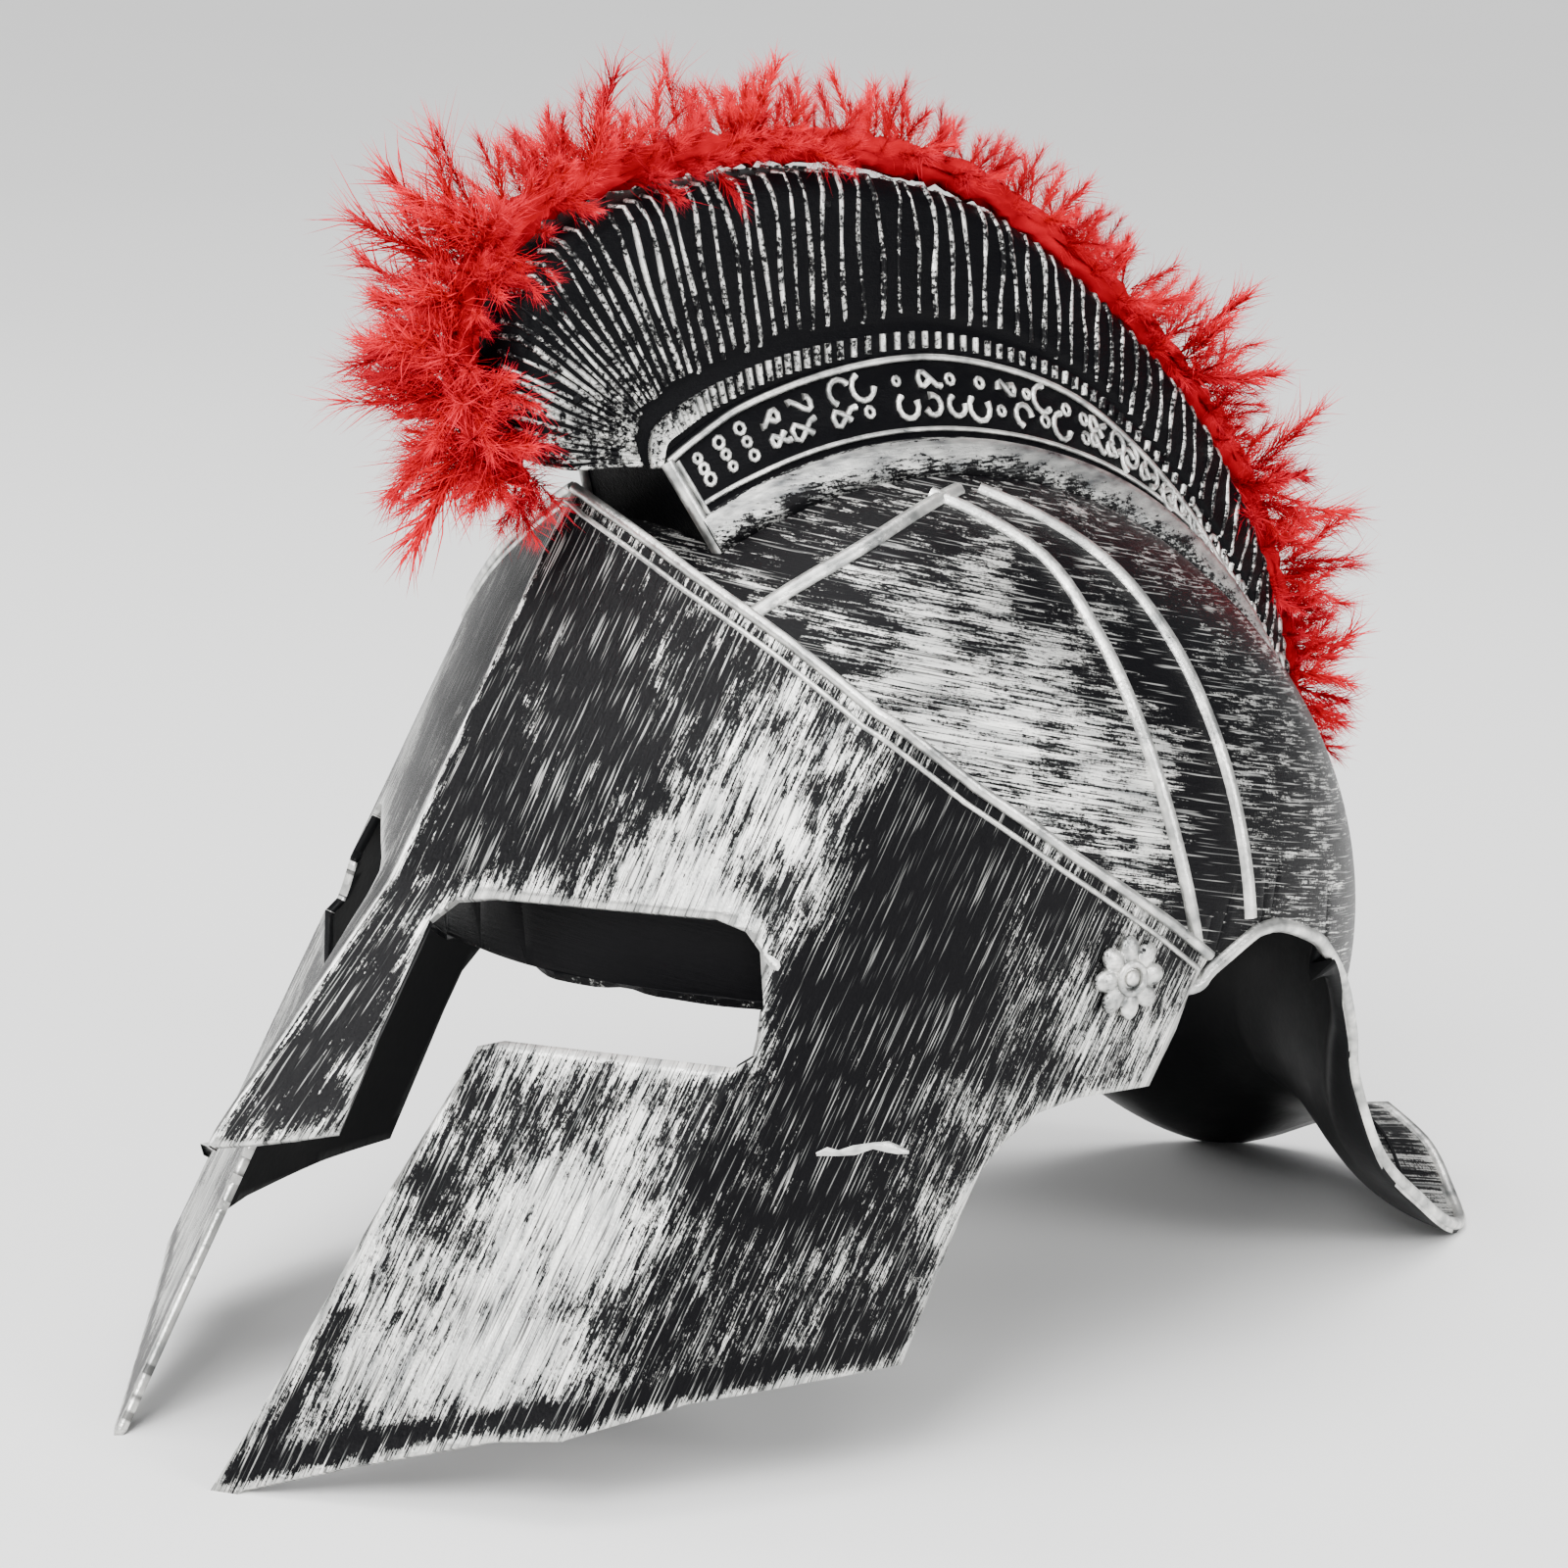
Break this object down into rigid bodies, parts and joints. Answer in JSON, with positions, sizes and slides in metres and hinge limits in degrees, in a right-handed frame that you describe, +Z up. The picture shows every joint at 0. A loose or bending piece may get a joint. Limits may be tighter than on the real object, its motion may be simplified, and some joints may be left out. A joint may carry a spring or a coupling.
{
  "type": "gladiator helmet",
  "caption": "Costume helmet: domed skull with a flared neck guard, a face mask with an eye slot and long cheek plates, and a tall ribbed crest edged with a feather trim.",
  "frame": {"origin": "Middle of the bounding box in X and Y, on the floor the helmet stands on in Z.", "axes": "The face looks along -Y, the wearer's left is +X and +Z is up. The helmet stands as it does on a table, leaning back on its cheek tips and neck guard."},
  "size_m": [0.2024, 0.3618, 0.2847],
  "materials": {
    "silver_plastic": "black moulded plastic dry-brushed with silver paint",
    "feather": "fluffy red feather trim"
  },
  "bodies": {
    "root": {"skull": "silver_plastic", "face_mask": "silver_plastic", "crest": "silver_plastic", "plume": "feather", "rosette_left": "silver_plastic", "rosette_right": "silver_plastic"}
  },
  "joints": []
}
